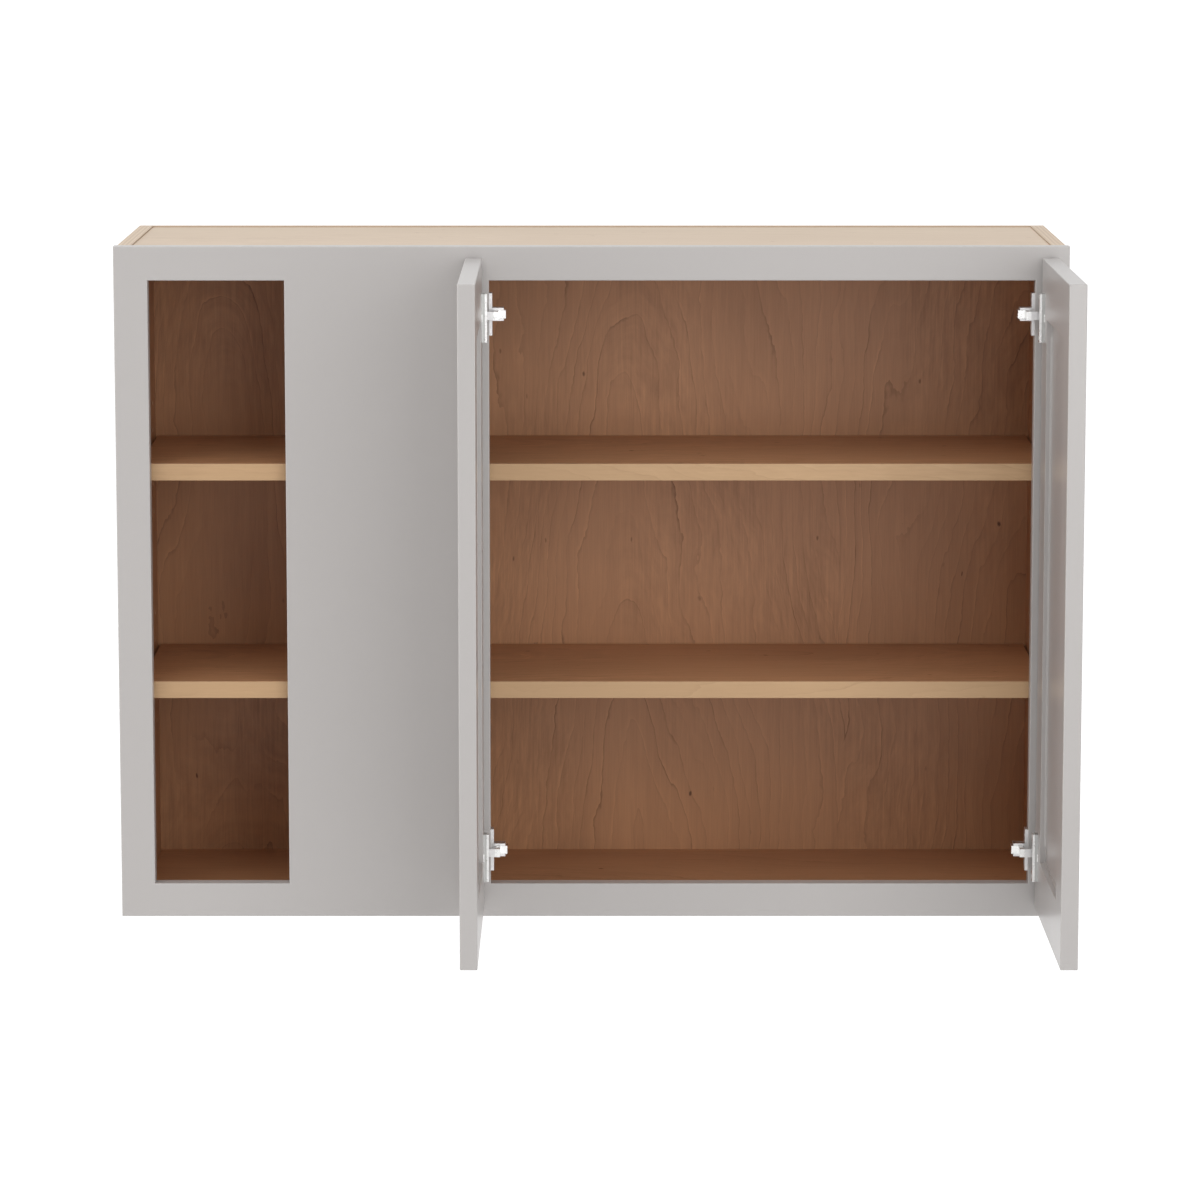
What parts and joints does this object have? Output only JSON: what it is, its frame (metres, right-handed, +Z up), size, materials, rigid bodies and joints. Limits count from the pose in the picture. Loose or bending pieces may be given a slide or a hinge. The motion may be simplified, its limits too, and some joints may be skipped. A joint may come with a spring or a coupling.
{
  "type": "blind corner wall cabinet",
  "caption": "Blind corner wall cabinet with a painted face frame, an open bay at the blind end, paired shaker doors on concealed hinges and lift-off shelves on pins.",
  "frame": {"origin": "centre of the back face, where the cabinet meets the wall, half way up and half way across", "axes": "+X to the right seen from the front, +Y into the wall so the doors are on the -Y side, +Z up"},
  "size_m": [1.0668, 0.6387, 0.762],
  "materials": {
    "painted_wood": "warm grey paint, satin to semi-gloss, over maple and board",
    "maple_plywood": "clear-coated maple veneer with cathedral grain",
    "shelf_plywood": "clear-coated maple veneer",
    "shelf_edge_band": "clear-coated maple edge band",
    "nickel_plate": "bright nickel plate",
    "bright_steel": "zinc-plated steel"
  },
  "bodies": {
    "cabinet": {"left_side_panel": "maple_plywood", "right_side_panel": "maple_plywood", "top_panel": "maple_plywood", "bottom_panel": "maple_plywood", "back_panel": "maple_plywood", "frame_left_stile": "painted_wood", "frame_blind_stile": "painted_wood", "frame_right_stile": "painted_wood", "frame_top_rail": "painted_wood", "frame_bottom_rail": "painted_wood", "upper_shelf_pins": "bright_steel", "lower_shelf_pins": "bright_steel", "left_upper_hinge_arm": "nickel_plate", "left_upper_hinge_plate": "nickel_plate", "left_lower_hinge_arm": "nickel_plate", "left_lower_hinge_plate": "nickel_plate", "right_upper_hinge_arm": "nickel_plate", "right_upper_hinge_plate": "nickel_plate", "right_lower_hinge_arm": "nickel_plate", "right_lower_hinge_plate": "nickel_plate", "plate_screws": "bright_steel", "arm_screws": "bright_steel"},
    "left_door": {"left_door_hinge_stile": "painted_wood", "left_door_meeting_stile": "painted_wood", "left_door_top_rail": "painted_wood", "left_door_bottom_rail": "painted_wood", "left_door_panel": "painted_wood", "left_upper_hinge_cup": "nickel_plate", "left_upper_hinge_pin": "bright_steel", "left_lower_hinge_cup": "nickel_plate", "left_lower_hinge_pin": "bright_steel", "left_cup_screws": "bright_steel"},
    "right_door": {"right_door_hinge_stile": "painted_wood", "right_door_meeting_stile": "painted_wood", "right_door_top_rail": "painted_wood", "right_door_bottom_rail": "painted_wood", "right_door_panel": "painted_wood", "right_upper_hinge_cup": "nickel_plate", "right_upper_hinge_pin": "bright_steel", "right_lower_hinge_cup": "nickel_plate", "right_lower_hinge_pin": "bright_steel", "right_cup_screws": "bright_steel"},
    "upper_shelf": {"upper_shelf": "shelf_plywood", "upper_shelf_edge_band": "shelf_edge_band"},
    "lower_shelf": {"lower_shelf": "shelf_plywood", "lower_shelf_edge_band": "shelf_edge_band"}
  },
  "joints": [
    {"name": "left_door_swing", "type": "hinge", "parent": "cabinet", "child": "left_door", "pos_m": [-0.1318, -0.318, 0], "axis": [0, 0, 1], "range_deg": [-15, 90]},
    {"name": "right_door_swing", "type": "hinge", "parent": "cabinet", "child": "right_door", "pos_m": [0.5128, -0.318, 0], "axis": [0, 0, -1], "range_deg": [-15, 90]},
    {"name": "upper_shelf_lift", "type": "slide", "parent": "cabinet", "child": "upper_shelf", "axis": [0, 0, 1], "range_m": [0, 0.06]},
    {"name": "lower_shelf_lift", "type": "slide", "parent": "cabinet", "child": "lower_shelf", "axis": [0, 0, 1], "range_m": [0, 0.06]}
  ]
}
